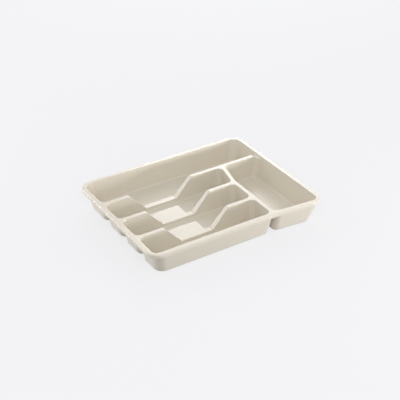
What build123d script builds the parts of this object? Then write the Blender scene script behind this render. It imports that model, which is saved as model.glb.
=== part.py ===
from build123d import *
import os
from math import atan2, cos, hypot, radians, tan

# Cutlery tray, moulded in one thin wall of plastic, in millimetres and with +Z up.
# X runs along the tray and +Y points to its back. The origin is under the middle of the tray,
# on the surface that the bins' floors rest on.

os.makedirs("parts", exist_ok=True)

# Overall size
tray_length = 400           # over the rim
tray_depth = 312            # over the rim, where the front is straight
tray_height = 50
flare_angle = 5             # degrees that the side bin's front turns outwards
wall = 1.6                  # thickness of deck, lip, walls and floors
fillet_share = 0.9          # of a wall's thickness, the most that an edge's rounding takes
overrun = 6                 # how far a cut runs past what it cuts
touching = 0.001            # nearer than this, an edge lies on a surface

# Rim
rim_width = 10              # flat border between the lip's face and the openings
lip_height = 8
lip_edge_radius = 2.5
rim_corner_radius = 28
flare_bend_radius = 60      # rounding of the rim where the flare begins
opening_edge_radius = 1.2

# Bins, sized at the deck
long_bin_width = 82
side_bin_width = 104
divider_width = 9
divider_bend = 14           # how far the end divider steps to the right beside the rear bin
back_corner_radius = 18
bin_corner_radius = 12
bend_radius = 20            # rounding of the side bin's wall where the divider bends
front_corner_radius = 20    # outer front walls, at the tray's corners
notch_corner_radius = 12    # outer front walls, where the two front bins face each other

# How far each kind of wall leans inwards from the deck down to the base
back_lean = 10
left_lean = 10
right_lean = 13
front_lean = 8
outer_front_lean = 11
divider_lean = 2.8
cove_radius = 4             # inside, between walls and floor
foot_radius = 5.5           # outside, between walls and floor

# Finger cut-outs through the three long dividers
cutout_top_length = 147
cutout_left_share = 0.4875  # of the divider's length beside a cut-out, what lies to its left
cutout_foot_length = 73
saddle_height = 10.4        # from the base to the top of the low strip
brow_radius = 4             # where the deck turns down into the cut-out
valley_radius = 5           # where the slope meets the low strip
strip_land = 3              # flat end of a bent strip, level with the deck

# Dip in the top of the long bin's divider, where it meets the right wall
dip_reach = 15              # from the openings' right edge to the start of its slope
dip_run = 9                 # run of the slope
dip_depth = 5.5
dip_radius = 2

# Raised steps on the floors of the rear and the middle bin
step_reach = 24             # from the middle of the cut-outs to the steps' right edge
step_length = 76
step_flat = 33              # flat top, measured back from the front of the bin's opening
step_slope = 13             # run of the soft slope behind the flat

# Where the rim and the openings lie
flare_slope = tan(radians(flare_angle))
right = tray_length / 2
left = -right
kink = right - rim_width - side_bin_width
corner_x = right - rim_corner_radius
flare_reach = (corner_x - kink) * flare_slope - rim_corner_radius * (1 / cos(radians(flare_angle)) - 1)
back = (tray_depth + flare_reach) / 2
front = back - tray_depth
flared_front = front - (right - kink) * flare_slope
rim_corners = [(left, back), (right, back), (right, flared_front), (kink, front), (left, front)]
rim_radii = [rim_corner_radius, rim_corner_radius, rim_corner_radius, flare_bend_radius, rim_corner_radius]

deck_underside = tray_height - wall
lip_bottom = tray_height - lip_height


def inset_corners(corners, insets):
    """Corners of a clockwise outline after side i, which leaves corner i, moves inwards by insets[i]."""
    moved = []
    for i, corner in enumerate(corners):
        here = Vector(*corner)
        arriving = (here - Vector(*corners[i - 1])).normalized()
        leaving = (Vector(*corners[(i + 1) % len(corners)]) - here).normalized()
        turn = leaving.X * arriving.Y - leaving.Y * arriving.X
        first, second = insets[i - 1], insets[i]
        shift_x = (first * leaving.X - second * arriving.X) / turn
        shift_y = (first * leaving.Y - second * arriving.Y) / turn
        moved.append((here.X + shift_x, here.Y + shift_y))
    return moved


def slab(corners, radii, bottom, top):
    """Upright block over one rounded outline."""
    with BuildPart() as block:
        with BuildSketch(Plane.XY.offset(bottom)):
            with BuildLine():
                FilletPolyline(*corners, radius=radii, close=True)
            make_face()
        extrude(amount=top - bottom)
    return block.part


def tapered(low_corners, bottom, high_corners, top, radii, edge_radius=0):
    """Block between a lower and an upper rounded outline, with its bottom edge rounded."""
    with BuildPart() as block:
        for height, corners in ((bottom, low_corners), (top, high_corners)):
            with BuildSketch(Plane.XY.offset(height)):
                with BuildLine():
                    FilletPolyline(*corners, radius=radii, close=True)
                make_face()
        loft(ruled=True)
        if edge_radius:
            fillet(block.edges().group_by(Axis.Z)[0], radius=edge_radius)
    return block.part


def leaning(corners, leans, height):
    """An opening's outline lower down, where its walls have leaned inwards."""
    share = (tray_height - height) / tray_height
    return inset_corners(corners, [lean * share for lean in leans])


def grown(radii, amount):
    return [radius + amount for radius in radii]


def cavity(plan):
    """The space inside a bin, from its floor up past the deck."""
    low = leaning(plan["corners"], plan["leans"], wall)
    inside = tapered(low, wall, plan["corners"], tray_height, plan["radii"], cove_radius)
    mouth = slab(plan["corners"], plan["radii"], tray_height, tray_height + overrun)
    with BuildPart() as space:
        add(inside)
        add(mouth)
    return space.part


def wall_block(plan, bottom, top):
    """The outside of a bin's own walls between two heights."""
    wide = inset_corners(plan["corners"], [-wall] * len(plan["corners"]))
    low = leaning(wide, plan["leans"], bottom)
    high = leaning(wide, plan["leans"], top)
    return tapered(low, bottom, high, top, grown(plan["radii"], wall))


def front_outline(plan, height, extra):
    """A bin's outline with its outer front wall, which meets the lip, moved inwards by extra all round."""
    share = (tray_height - height) / tray_height
    insets = [lean * share - wall + extra for lean in plan["leans"]]
    _, _, front_side, *_ = range(len(insets))
    insets[front_side] = outer_front_lean * (lip_bottom - height) / lip_bottom - rim_width + extra
    return inset_corners(plan["corners"], insets)


def outer_shell(plan, cuts):
    """The outside of a bin as a full block, with its finger cut-outs and its rounded foot."""
    if "front_radii" not in plan:
        walls = wall_block(plan, 0, deck_underside)
        with BuildPart() as block:
            add(walls)
            for cut in cuts:
                add(cut, mode=Mode.SUBTRACT)
            fillet(block.edges().group_by(Axis.Z)[0], radius=foot_radius)
        return block.part
    radii = plan["front_radii"]
    body = tapered(front_outline(plan, 0, 0), 0, front_outline(plan, lip_bottom, 0), lip_bottom, radii)
    collar = wall_block(plan, lip_bottom, deck_underside)
    slot = tapered(front_outline(plan, 0, wall), 0, front_outline(plan, lip_bottom, wall), lip_bottom,
                   grown(radii, -wall))
    own_walls = wall_block(plan, 0, lip_bottom)
    with BuildPart() as gap:
        add(slot)
        add(own_walls, mode=Mode.SUBTRACT)
    with BuildPart() as block:
        add(body)
        add(collar)
        for cut in cuts:
            add(cut, mode=Mode.SUBTRACT)
        fillet(block.edges().group_by(Axis.Z)[0], radius=foot_radius)
        add(gap.part, mode=Mode.SUBTRACT)
    return block.part


# The openings. Corners run clockwise from the back left, and lean i belongs to the side leaving corner i.
inner_left = left + rim_width
inner_right = right - rim_width
inner_rim = inset_corners(rim_corners, [rim_width] * len(rim_corners))
inner_back = inner_rim[0][1]
inner_front = inner_rim[-1][1]
short_right = kink - divider_width

first_row = inner_back - long_bin_width - divider_width
short_bin_width = (first_row - inner_front - 2 * divider_width) / 3
row_pitch = short_bin_width + divider_width

short_leans = [divider_lean, divider_lean, divider_lean, left_lean]
front_bin_leans = [divider_lean, divider_lean, front_lean, left_lean]


def short_row(number):
    """Back and front of one of the three short bins, counted from the rear."""
    row_back = first_row - number * row_pitch
    return row_back, row_back - short_bin_width


def short_corners(number, back_shift):
    row_back, row_front = short_row(number)
    return [(inner_left, row_back), (short_right + back_shift, row_back),
            (short_right, row_front), (inner_left, row_front)]


plans = {
    "long_bin": {
        "corners": [(inner_left, inner_back), (inner_right, inner_back),
                    (inner_right, inner_back - long_bin_width), (inner_left, inner_back - long_bin_width)],
        "leans": [back_lean, right_lean, divider_lean, left_lean],
        "radii": [back_corner_radius, back_corner_radius, bin_corner_radius, bin_corner_radius],
    },
    "rear_bin": {
        "corners": short_corners(0, divider_bend),
        "leans": short_leans,
        "radii": [bin_corner_radius] * 4,
    },
    "middle_bin": {
        "corners": short_corners(1, 0),
        "leans": short_leans,
        "radii": [bin_corner_radius] * 4,
    },
    "front_bin": {
        "corners": short_corners(2, 0),
        "leans": front_bin_leans,
        "radii": [bin_corner_radius] * 4,
        "front_radii": [bin_corner_radius, bin_corner_radius, notch_corner_radius, front_corner_radius],
    },
    "side_bin": {
        "corners": [(kink + divider_bend, first_row), (inner_right, first_row), inner_rim[2],
                    (kink, inner_front), (kink, short_row(0)[1])],
        "leans": [divider_lean, right_lean, front_lean, divider_lean, divider_lean],
        "radii": [bin_corner_radius] * 4 + [bend_radius],
        "front_radii": [bin_corner_radius, bin_corner_radius, front_corner_radius, notch_corner_radius,
                        bend_radius],
    },
}
cavities = {name: cavity(plan) for name, plan in plans.items()}

# Finger cut-outs: each divider's top follows a rounded line, and its underside a sharp one, one wall lower
half_top = cutout_top_length / 2
beside_cutout = short_right - inner_left - cutout_top_length
cutout_middle = inner_left + beside_cutout * cutout_left_share + half_top
half_foot = cutout_foot_length / 2
slope_run = half_top - half_foot
slope_rise = tray_height - saddle_height
corner_shift = wall * (hypot(slope_run, slope_rise) - slope_run) / slope_rise
brow_wall = brow_radius - (brow_radius - wall) / cos(atan2(slope_rise, slope_run) / 2)
edge_radius = min(opening_edge_radius, fillet_share * min(wall, brow_wall))
strip_reach = half_top + brow_radius + strip_land
rounded = [brow_radius, valley_radius, valley_radius, brow_radius]


def divider_line(drop, reach):
    """Corners of the divider's top line, lowered by drop along its normal."""
    shift = corner_shift * drop / wall
    spots = [(-reach, tray_height - drop), (-half_top - shift, tray_height - drop),
             (-half_foot - shift, saddle_height - drop), (half_foot + shift, saddle_height - drop),
             (half_top + shift, tray_height - drop), (reach, tray_height - drop)]
    return [(cutout_middle + x, z) for x, z in spots]


def above_line(spots, middle_y, width, radii=None):
    """Everything above a line of spots that runs along X, across one divider."""
    (first_x, _), (last_x, _) = spots[0], spots[-1]
    ceiling = tray_height + overrun
    with BuildPart() as block:
        with BuildSketch(Plane.XZ.offset(-middle_y)):
            with BuildLine():
                if radii:
                    FilletPolyline(*spots, radius=radii)
                else:
                    Polyline(*spots)
                Polyline(spots[-1], (last_x, ceiling), (first_x, ceiling), spots[0])
            make_face()
        extrude(amount=width / 2, both=True)
    return block.part


# Strips that cap the dividers where their tops are low, each filling the width between two bins
saddle_neighbours = {"rear_saddle": ("long_bin", "rear_bin"), "middle_saddle": ("rear_bin", "middle_bin"),
                     "front_saddle": ("middle_bin", "front_bin"), "end_saddle": ("long_bin", "side_bin")}
across = divider_width + 2 * (divider_lean + wall)
cutters = {}
pieces = {}
for number, name in enumerate(("rear_saddle", "middle_saddle", "front_saddle")):
    middle_y = first_row - number * row_pitch + divider_width / 2
    cutters[name] = above_line(divider_line(wall, strip_reach), middle_y, across)
    finger_space = above_line(divider_line(0, strip_reach + overrun), middle_y, across + overrun, rounded)
    with BuildPart() as saddle:
        add(cutters[name])
        add(finger_space, mode=Mode.SUBTRACT)
        for neighbour in saddle_neighbours[name]:
            add(cavities[neighbour], mode=Mode.SUBTRACT)
        on_top = [edge for edge in saddle.edges() if finger_space.distance_to(edge @ 0.5) < touching]
        fillet([edge for edge in on_top if abs((edge % 0.5).Y) < 0.5], radius=edge_radius)
    pieces[name] = saddle.part

# The strip that caps the dip bends up into a short piece of the right wall
dip_start = inner_right - dip_reach
wall_gap = wall * hypot(right_lean, tray_height) / tray_height


def wall_face(height):
    """Where the right wall's inner face lies at a height."""
    return inner_right - right_lean * (tray_height - height) / tray_height


def dip_line(drop, reach):
    """Corners of the dip's line, lowered by drop along its normal, from the deck to the right wall."""
    shift = drop * (hypot(dip_run, dip_depth) - dip_run) / dip_depth
    gap = wall_gap * drop / wall
    bottom = tray_height - dip_depth - drop
    return [(dip_start - reach, tray_height - drop), (dip_start - shift, tray_height - drop),
            (dip_start + dip_run - shift, bottom), (wall_face(bottom) + gap, bottom),
            (inner_right + gap, tray_height)]


dip_y = first_row + divider_width / 2
dip_across = divider_width + 2 * (bin_corner_radius + wall)
dip_land = dip_radius + strip_land
dip_top = dip_line(0, dip_land + overrun) + [(inner_right + overrun, tray_height)]
cutters["end_saddle"] = above_line(dip_line(wall, dip_land), dip_y, dip_across)
dip_space = above_line(dip_top, dip_y, dip_across + overrun, [dip_radius] * 3 + [edge_radius])
with BuildPart() as end_saddle:
    add(cutters["end_saddle"])
    add(dip_space, mode=Mode.SUBTRACT)
    for neighbour in saddle_neighbours["end_saddle"]:
        add(cavities[neighbour], mode=Mode.SUBTRACT)
pieces["end_saddle"] = end_saddle.part

# Rim: the flat deck and the lip round it, opened over each bin and over each strip
rim_blank = slab(rim_corners, rim_radii, lip_bottom, tray_height)
rim_hollow = slab(inset_corners(rim_corners, [wall] * len(rim_corners)), grown(rim_radii, -wall),
                  lip_bottom - overrun, deck_underside)
with BuildPart() as rim:
    add(rim_blank)
    fillet(rim.faces().sort_by(Axis.Z)[-1].edges(), radius=lip_edge_radius)
    add(rim_hollow, mode=Mode.SUBTRACT)
    for space in cavities.values():
        add(space, mode=Mode.SUBTRACT)
    openings = rim.faces().sort_by(Axis.Z)[-1].inner_wires()
    fillet([edge for opening in openings for edge in opening.edges()], radius=edge_radius)
    for cutter in cutters.values():
        add(cutter, mode=Mode.SUBTRACT)
pieces["rim"] = rim.part


# Steps: raised pads, level with the low strip in front of them, hollow below through the floor
step_right = cutout_middle + step_reach
step_left = step_right - step_length
step_hollows = {}
step_fronts = {"rear_bin": "middle_saddle", "middle_bin": "front_saddle"}
strip_flat = half_foot - valley_radius * tan(atan2(slope_rise, slope_run) / 2)
for number, name in enumerate(step_fronts):
    row_back, row_front = short_row(number)
    # A step reaches over the rounded edge of the low strip in front of it, so their tops are flush
    with BuildPart() as room:
        with BuildSketch(Plane.XY.offset(saddle_height - edge_radius)):
            with Locations((cutout_middle, row_front)):
                Rectangle(2 * strip_flat, 2 * (divider_lean + wall))
        extrude(amount=edge_radius)
        add(pieces[step_fronts[name]], mode=Mode.SUBTRACT)
        add(cavities[name])
    flat_back = row_front + step_flat
    slope_back = flat_back + step_slope
    slope_middle = flat_back + step_slope / 2
    pad_underside = saddle_height - wall
    hollow_front = row_front + divider_lean + wall
    with BuildPart() as hollow:
        with BuildSketch(Plane.YZ.offset(step_left + wall)):
            with BuildLine():
                Polyline((hollow_front, -overrun), (hollow_front, pad_underside), (flat_back, pad_underside),
                         (slope_middle, 0), (slope_middle, -overrun), close=True)
            make_face()
        extrude(amount=step_length - 2 * wall)
    step_hollows[name] = hollow.part
    with BuildPart() as step:
        with BuildSketch(Plane.YZ.offset(step_left)):
            with BuildLine():
                Polyline((slope_back, wall), (slope_back, 0), (row_front, 0), (row_front, saddle_height),
                         (flat_back, saddle_height))
                Bezier((flat_back, saddle_height), (slope_middle, saddle_height), (slope_middle, wall),
                       (slope_back, wall))
            make_face()
        extrude(amount=step_length)
        add(room.part, mode=Mode.INTERSECT)
        add(hollow.part, mode=Mode.SUBTRACT)
    pieces[f"{name}_step"] = step.part

# Bins: each a thin cup that hangs from the deck and stands on its floor
for name, plan in plans.items():
    cuts = [cutters[saddle] for saddle, neighbours in saddle_neighbours.items() if name in neighbours]
    outside = outer_shell(plan, cuts)
    with BuildPart() as tray_bin:
        add(outside)
        add(cavities[name], mode=Mode.SUBTRACT)
        if name in step_hollows:
            add(step_hollows[name], mode=Mode.SUBTRACT)
    pieces[name] = tray_bin.part

for name, piece in pieces.items():
    piece.label = name
    export_step(piece, f"parts/{name}.step")
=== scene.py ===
"""Cutlery tray: the finish of its moulded plastic, and the studio that it is shown in."""
from math import cos, radians, sin

import bmesh
import bpy
from bpy.props import FloatProperty, FloatVectorProperty, PointerProperty
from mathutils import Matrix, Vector


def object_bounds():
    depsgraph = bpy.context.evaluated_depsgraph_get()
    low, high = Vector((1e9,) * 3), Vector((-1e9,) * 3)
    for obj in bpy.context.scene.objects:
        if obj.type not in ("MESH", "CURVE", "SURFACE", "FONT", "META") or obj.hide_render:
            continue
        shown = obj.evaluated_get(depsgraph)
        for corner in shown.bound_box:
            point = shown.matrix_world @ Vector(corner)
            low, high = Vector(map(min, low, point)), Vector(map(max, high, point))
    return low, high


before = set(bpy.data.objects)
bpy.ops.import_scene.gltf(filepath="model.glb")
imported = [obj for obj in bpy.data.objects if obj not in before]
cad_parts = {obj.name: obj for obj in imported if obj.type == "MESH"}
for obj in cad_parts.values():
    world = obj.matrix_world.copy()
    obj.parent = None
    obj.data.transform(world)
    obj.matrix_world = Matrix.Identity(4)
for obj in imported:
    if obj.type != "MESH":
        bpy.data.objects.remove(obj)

bl_info = {
    "name": "Cutlery Tray Finish",
    "version": (1, 0, 0),
    "blender": (4, 5, 0),
    "location": "View3D > Sidebar > Tray",
    "description": "Dresses a moulded cutlery tray and sets up its studio",
    "category": "Object",
}

CAD_LOW, CAD_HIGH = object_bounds()

# Nodes that share one finish: the mould was polished where hands and eyes meet it, and plainer inside
POLISHED_NODES = ("rim", "rear_saddle", "middle_saddle", "front_saddle", "end_saddle",
                  "rear_bin_step", "middle_bin_step")
BIN_NODES = ("long_bin", "rear_bin", "middle_bin", "front_bin", "side_bin")

# How much the plastic bends light, and how far it lets red, green and blue in, as shares of the glow depth
PLASTIC_IOR = 1.49
GLOW_SHARES = (1.0, 0.8, 0.6)

# How fine and how rough the noise of the colour clouds is, and how fine and how strong that of the ripples
CLOUD_DETAIL = 3.0
CLOUD_ROUGHNESS = 0.55
PEEL_DETAIL = 2.0
PEEL_STRENGTH = 0.5

# Socket numbers of a mix of two colours, whose names are shared by other kinds of mix
MIX_SHARE, MIX_FIRST, MIX_SECOND, MIX_RESULT = 0, 6, 7, 2

SENSOR_WIDTH = 36.0  # millimetres

# Points on the tray that the lamps look at
TRAY_MIDDLE = (0.0, 0.0, 0.0)
FRONT_RIGHT = (0.15, -0.15, 0.02)
LEFT_END = (CAD_LOW.x, 0.0, 0.03)

# Each lamp's place, aim, width and height, and the stage setting that holds its power
SOFTBOXES = {
    "back_softbox": {"place": (1.35, 1.54, 1.3), "aim": TRAY_MIDDLE,
                     "width": 1.3, "height": 1.3, "power": "back_light"},
    "sheen_softbox": {"place": (0.96, 1.54, 0.845), "aim": TRAY_MIDDLE,
                      "width": 1.4, "height": 0.5, "power": "sheen_light"},
    "side_softbox": {"place": (-1.1, 1.4, 0.85), "aim": TRAY_MIDDLE,
                     "width": 1.0, "height": 0.8, "power": "side_light"},
    "fill_softbox": {"place": (-0.9, -1.6, 1.7), "aim": TRAY_MIDDLE,
                     "width": 1.2, "height": 1.2, "power": "fill_light"},
    "front_strip": {"place": (0.75, -0.8, 0.1), "aim": FRONT_RIGHT,
                    "width": 0.6, "height": 0.12, "power": "front_light"},
    "left_strip": {"place": (-0.75, 0.5, 0.03), "aim": LEFT_END,
                   "width": 0.8, "height": 0.05, "power": "left_light"},
}


class TrayFinishSettings(bpy.types.PropertyGroup):
    """Colours and surface of the moulded plastic"""

    cream: FloatVectorProperty(
        name="Cream", description="Colour of the plastic, linear", subtype="COLOR",
        size=3, min=0, max=1, default=(0.71, 0.657, 0.56))
    polished_roughness: FloatProperty(
        name="Deck Roughness", description="Roughness of the deck, the strips and the steps",
        min=0, max=1, default=0.18)
    bin_roughness: FloatProperty(
        name="Bin Roughness", description="Roughness of the bins' walls and floors",
        min=0, max=1, default=0.32)
    cloud_size: FloatProperty(
        name="Cloud Size", description="Size of the faint clouds in the colour",
        unit="LENGTH", default=0.06)
    cloud_depth: FloatProperty(
        name="Cloud Depth", description="How much darker the clouds are",
        min=0, max=1, default=0.03)
    peel_size: FloatProperty(
        name="Peel Size", description="Size of the moulded surface's fine ripples",
        unit="LENGTH", default=0.0012)
    peel_height: FloatProperty(
        name="Peel Height", description="Height of the fine ripples",
        unit="LENGTH", default=0.00001)
    polished_skin: FloatProperty(
        name="Deck Skin", description="Weight of the clear glossy skin on the deck, the strips and the steps",
        min=0, max=1, default=0.4)
    bin_skin: FloatProperty(
        name="Bin Skin", description="Weight of the clear glossy skin on the bins",
        min=0, max=1, default=0.2)
    skin_roughness: FloatProperty(
        name="Skin Roughness", description="Roughness of the glossy skin",
        min=0, max=1, default=0.12)
    glow: FloatProperty(
        name="Glow", description="Share of light that scatters inside the thin wall",
        min=0, max=1, default=0.12)
    glow_depth: FloatProperty(
        name="Glow Depth", description="How far light scatters inside",
        unit="LENGTH", default=0.003)


class TrayStageSettings(bpy.types.PropertyGroup):
    """Camera, floor and lights"""

    azimuth: FloatProperty(
        name="Azimuth", description="Camera's direction round the tray, to the left of its front",
        subtype="ANGLE", default=radians(32.38))
    elevation: FloatProperty(
        name="Elevation", description="Camera's angle above the horizon",
        subtype="ANGLE", default=radians(32.34))
    distance: FloatProperty(
        name="Distance", description="From the camera to the point it looks at",
        unit="LENGTH", default=1.979)
    lens: FloatProperty(
        name="Lens", description="Focal length in millimetres on a 36 mm sensor", default=88.1)
    target: FloatVectorProperty(
        name="Target", description="Point on the deck that the camera looks at",
        subtype="TRANSLATION", size=3, default=(-0.0173, -0.0281, CAD_HIGH.z))
    floor_size: FloatProperty(
        name="Floor Size", description="Side of the square floor",
        unit="LENGTH", default=12.0)
    floor_gap: FloatProperty(
        name="Floor Gap", description="How far the floor lies below the tray's flat underside",
        unit="LENGTH", default=0.0003)
    floor_tone: FloatVectorProperty(
        name="Floor Tone", description="Colour that the floor shows, linear",
        subtype="COLOR", size=3, min=0, max=1, default=(0.896, 0.896, 0.913))
    floor_bounce: FloatVectorProperty(
        name="Floor Bounce", description="Colour that the floor throws back on the tray, linear",
        subtype="COLOR", size=3, min=0, max=1, default=(0.35, 0.35, 0.35))
    floor_hold: FloatProperty(
        name="Floor Hold", description="How firmly the floor keeps its tone under shadows",
        min=0, max=1, default=0.8)
    ambient: FloatProperty(
        name="Ambient", description="Strength of the even light from all round",
        min=0, default=0.6)
    back_light: FloatProperty(
        name="Back Light", description="Power of the softbox behind the tray",
        subtype="POWER", default=8.5)
    sheen_light: FloatProperty(
        name="Sheen Light", description="Power of the low wide softbox that the deck mirrors",
        subtype="POWER", default=4.0)
    side_light: FloatProperty(
        name="Side Light", description="Power of the softbox at the back left",
        subtype="POWER", default=5.0)
    fill_light: FloatProperty(
        name="Fill Light", description="Power of the high softbox in front",
        subtype="POWER", default=18.0)
    front_light: FloatProperty(
        name="Front Light", description="Power of the low strip at the right of the front",
        subtype="POWER", default=6.3)
    left_light: FloatProperty(
        name="Left Light", description="Power of the low strip at the left",
        subtype="POWER", default=2.6)


def node_tree(name):
    """A new material, and its empty node tree."""
    material = bpy.data.materials.new(name)
    material.use_nodes = True
    material.node_tree.nodes.clear()
    return material, material.node_tree


def new_node(tree, kind, **values):
    """A shader node, with the given values set on itself or on its sockets."""
    made = tree.nodes.new(kind)
    for key, value in values.items():
        if hasattr(made, key):
            setattr(made, key, value)
        else:
            made.inputs[key.replace("_", " ")].default_value = value
    return made


def opaque(colour):
    """A colour with full alpha."""
    return (*colour, 1.0)


def mixed(tree, first, second):
    """A mix of two shaders, whose share of the second is set or linked by the caller."""
    blend = new_node(tree, "ShaderNodeMixShader")
    tree.links.new(first.outputs[0], blend.inputs[1])
    tree.links.new(second.outputs[0], blend.inputs[2])
    return blend


def moulded_plastic(name, settings, roughness, skin):
    """Cream plastic with faint colour clouds, fine ripples, a clear glossy skin and a little inner glow."""
    material, tree = node_tree(name)
    link = tree.links.new
    place = new_node(tree, "ShaderNodeTexCoord")
    surface = new_node(tree, "ShaderNodeBsdfPrincipled", Roughness=roughness, IOR=PLASTIC_IOR,
                       Subsurface_Weight=settings.glow, Subsurface_Radius=GLOW_SHARES,
                       Subsurface_Scale=settings.glow_depth, Coat_Weight=skin,
                       Coat_Roughness=settings.skin_roughness)
    clouds = new_node(tree, "ShaderNodeTexNoise", Scale=1 / settings.cloud_size,
                      Detail=CLOUD_DETAIL, Roughness=CLOUD_ROUGHNESS)
    tint = new_node(tree, "ShaderNodeMix", data_type="RGBA")
    tint.inputs[MIX_FIRST].default_value = opaque(settings.cream)
    tint.inputs[MIX_SECOND].default_value = opaque(c * (1 - settings.cloud_depth) for c in settings.cream)
    link(place.outputs["Object"], clouds.inputs["Vector"])
    link(clouds.outputs["Fac"], tint.inputs[MIX_SHARE])
    link(tint.outputs[MIX_RESULT], surface.inputs["Base Color"])
    peel = new_node(tree, "ShaderNodeTexNoise", Scale=1 / settings.peel_size, Detail=PEEL_DETAIL)
    bump = new_node(tree, "ShaderNodeBump", Strength=PEEL_STRENGTH, Distance=settings.peel_height)
    link(place.outputs["Object"], peel.inputs["Vector"])
    link(peel.outputs["Fac"], bump.inputs["Height"])
    link(bump.outputs["Normal"], surface.inputs["Normal"])
    end = new_node(tree, "ShaderNodeOutputMaterial")
    link(surface.outputs["BSDF"], end.inputs["Surface"])
    return material


class TRAY_OT_finish(bpy.types.Operator):
    """Gives every moulded member its plastic"""

    bl_idname = "tray.finish"
    bl_label = "Finish Tray"

    def execute(self, context):
        settings = context.scene.tray_finish
        polished = moulded_plastic("polished_cream", settings, settings.polished_roughness,
                                   settings.polished_skin)
        plain = moulded_plastic("plain_cream", settings, settings.bin_roughness, settings.bin_skin)
        for names, material in ((POLISHED_NODES, polished), (BIN_NODES, plain)):
            for name in names:
                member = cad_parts[name]
                member.data.materials.clear()
                member.data.materials.append(material)
        return {"FINISHED"}


def sight_rays(tree):
    """An output that is 1 for the rays that show a surface: the camera's, and those of mirrors and glass."""
    rays = new_node(tree, "ShaderNodeLightPath")
    result = rays.outputs["Is Camera Ray"]
    for kind in ("Is Glossy Ray", "Is Transmission Ray"):
        either = new_node(tree, "ShaderNodeMath", operation="MAXIMUM")
        tree.links.new(result, either.inputs[0])
        tree.links.new(rays.outputs[kind], either.inputs[1])
        result = either.outputs[0]
    return result


def floor_paper(settings):
    """Pale paper that shows an even tone with a faint shadow, and throws less light back than it shows."""
    material, tree = node_tree("floor_paper")
    paper = new_node(tree, "ShaderNodeBsdfDiffuse", Color=opaque(settings.floor_tone))
    even = new_node(tree, "ShaderNodeEmission", Color=opaque(settings.floor_tone))
    bounce = new_node(tree, "ShaderNodeBsdfDiffuse", Color=opaque(settings.floor_bounce))
    shown = mixed(tree, paper, even)
    shown.inputs["Fac"].default_value = settings.floor_hold
    blend = mixed(tree, bounce, shown)
    end = new_node(tree, "ShaderNodeOutputMaterial")
    tree.links.new(sight_rays(tree), blend.inputs["Fac"])
    tree.links.new(blend.outputs[0], end.inputs["Surface"])
    return material


def stage_floor(settings):
    """A wide plain floor, a hair below the tray so that no two faces share a plane."""
    mesh = bpy.data.meshes.new("studio_floor")
    sheet = bmesh.new()
    bmesh.ops.create_grid(sheet, x_segments=1, y_segments=1, size=settings.floor_size / 2)
    sheet.to_mesh(mesh)
    sheet.free()
    mesh.materials.append(floor_paper(settings))
    floor = bpy.data.objects.new("studio_floor", mesh)
    floor.location.z = CAD_LOW.z - settings.floor_gap
    bpy.context.scene.collection.objects.link(floor)


def studio_world(settings):
    """Even light from all round, which the camera and reflections see as the floor's tone."""
    world = bpy.data.worlds.new("studio_world")
    world.use_nodes = True
    tree = world.node_tree
    tree.nodes.clear()
    light = new_node(tree, "ShaderNodeBackground", Color=(1.0, 1.0, 1.0, 1.0), Strength=settings.ambient)
    seen = new_node(tree, "ShaderNodeBackground", Color=opaque(settings.floor_tone))
    blend = mixed(tree, light, seen)
    end = new_node(tree, "ShaderNodeOutputWorld")
    tree.links.new(sight_rays(tree), blend.inputs["Fac"])
    tree.links.new(blend.outputs[0], end.inputs["Surface"])
    bpy.context.scene.world = world


def softbox(name, place, aim, width, height, power):
    """An area light that looks at a point."""
    data = bpy.data.lights.new(name, "AREA")
    data.shape = "RECTANGLE"
    data.size = width
    data.size_y = height
    data.energy = power
    lamp = bpy.data.objects.new(name, data)
    lamp.location = place
    lamp.rotation_euler = (Vector(aim) - Vector(place)).to_track_quat("-Z", "Y").to_euler()
    bpy.context.scene.collection.objects.link(lamp)


def camera(settings):
    """The photograph's camera."""
    data = bpy.data.cameras.new("camera")
    data.lens = settings.lens
    data.sensor_width = SENSOR_WIDTH
    eye = bpy.data.objects.new("camera", data)
    level = cos(settings.elevation)
    look = Vector((sin(settings.azimuth) * level, cos(settings.azimuth) * level, -sin(settings.elevation)))
    eye.location = Vector(settings.target) - look * settings.distance
    eye.rotation_euler = look.to_track_quat("-Z", "Y").to_euler()
    bpy.context.scene.collection.objects.link(eye)
    bpy.context.scene.camera = eye


class TRAY_OT_stage(bpy.types.Operator):
    """Sets the floor, the background, the lights and the camera"""

    bl_idname = "tray.stage"
    bl_label = "Set Stage"

    def execute(self, context):
        settings = context.scene.tray_stage
        stage_floor(settings)
        studio_world(settings)
        for name, box in SOFTBOXES.items():
            softbox(name, box["place"], box["aim"], box["width"], box["height"],
                    getattr(settings, box["power"]))
        camera(settings)
        context.scene.view_settings.view_transform = "Standard"
        return {"FINISHED"}


class TRAY_PT_panel(bpy.types.Panel):
    """Lists the tray's settings and operators"""

    bl_label = "Cutlery Tray"
    bl_idname = "TRAY_PT_panel"
    bl_space_type = "VIEW_3D"
    bl_region_type = "UI"
    bl_category = "Tray"

    def draw(self, context):
        layout = self.layout
        for group, operator in ((context.scene.tray_finish, TRAY_OT_finish),
                                (context.scene.tray_stage, TRAY_OT_stage)):
            box = layout.box()
            for key in group.bl_rna.properties.keys():
                if key not in ("rna_type", "name"):
                    box.prop(group, key)
            box.operator(operator.bl_idname)


CLASSES = (TrayFinishSettings, TrayStageSettings, TRAY_OT_finish, TRAY_OT_stage, TRAY_PT_panel)


def register():
    for cls in CLASSES:
        bpy.utils.register_class(cls)
    bpy.types.Scene.tray_finish = PointerProperty(type=TrayFinishSettings)
    bpy.types.Scene.tray_stage = PointerProperty(type=TrayStageSettings)


def unregister():
    del bpy.types.Scene.tray_stage
    del bpy.types.Scene.tray_finish
    for cls in reversed(CLASSES):
        bpy.utils.unregister_class(cls)


def main():
    register()
    bpy.ops.tray.finish()
    bpy.ops.tray.stage()


if __name__ == "__main__":
    main()
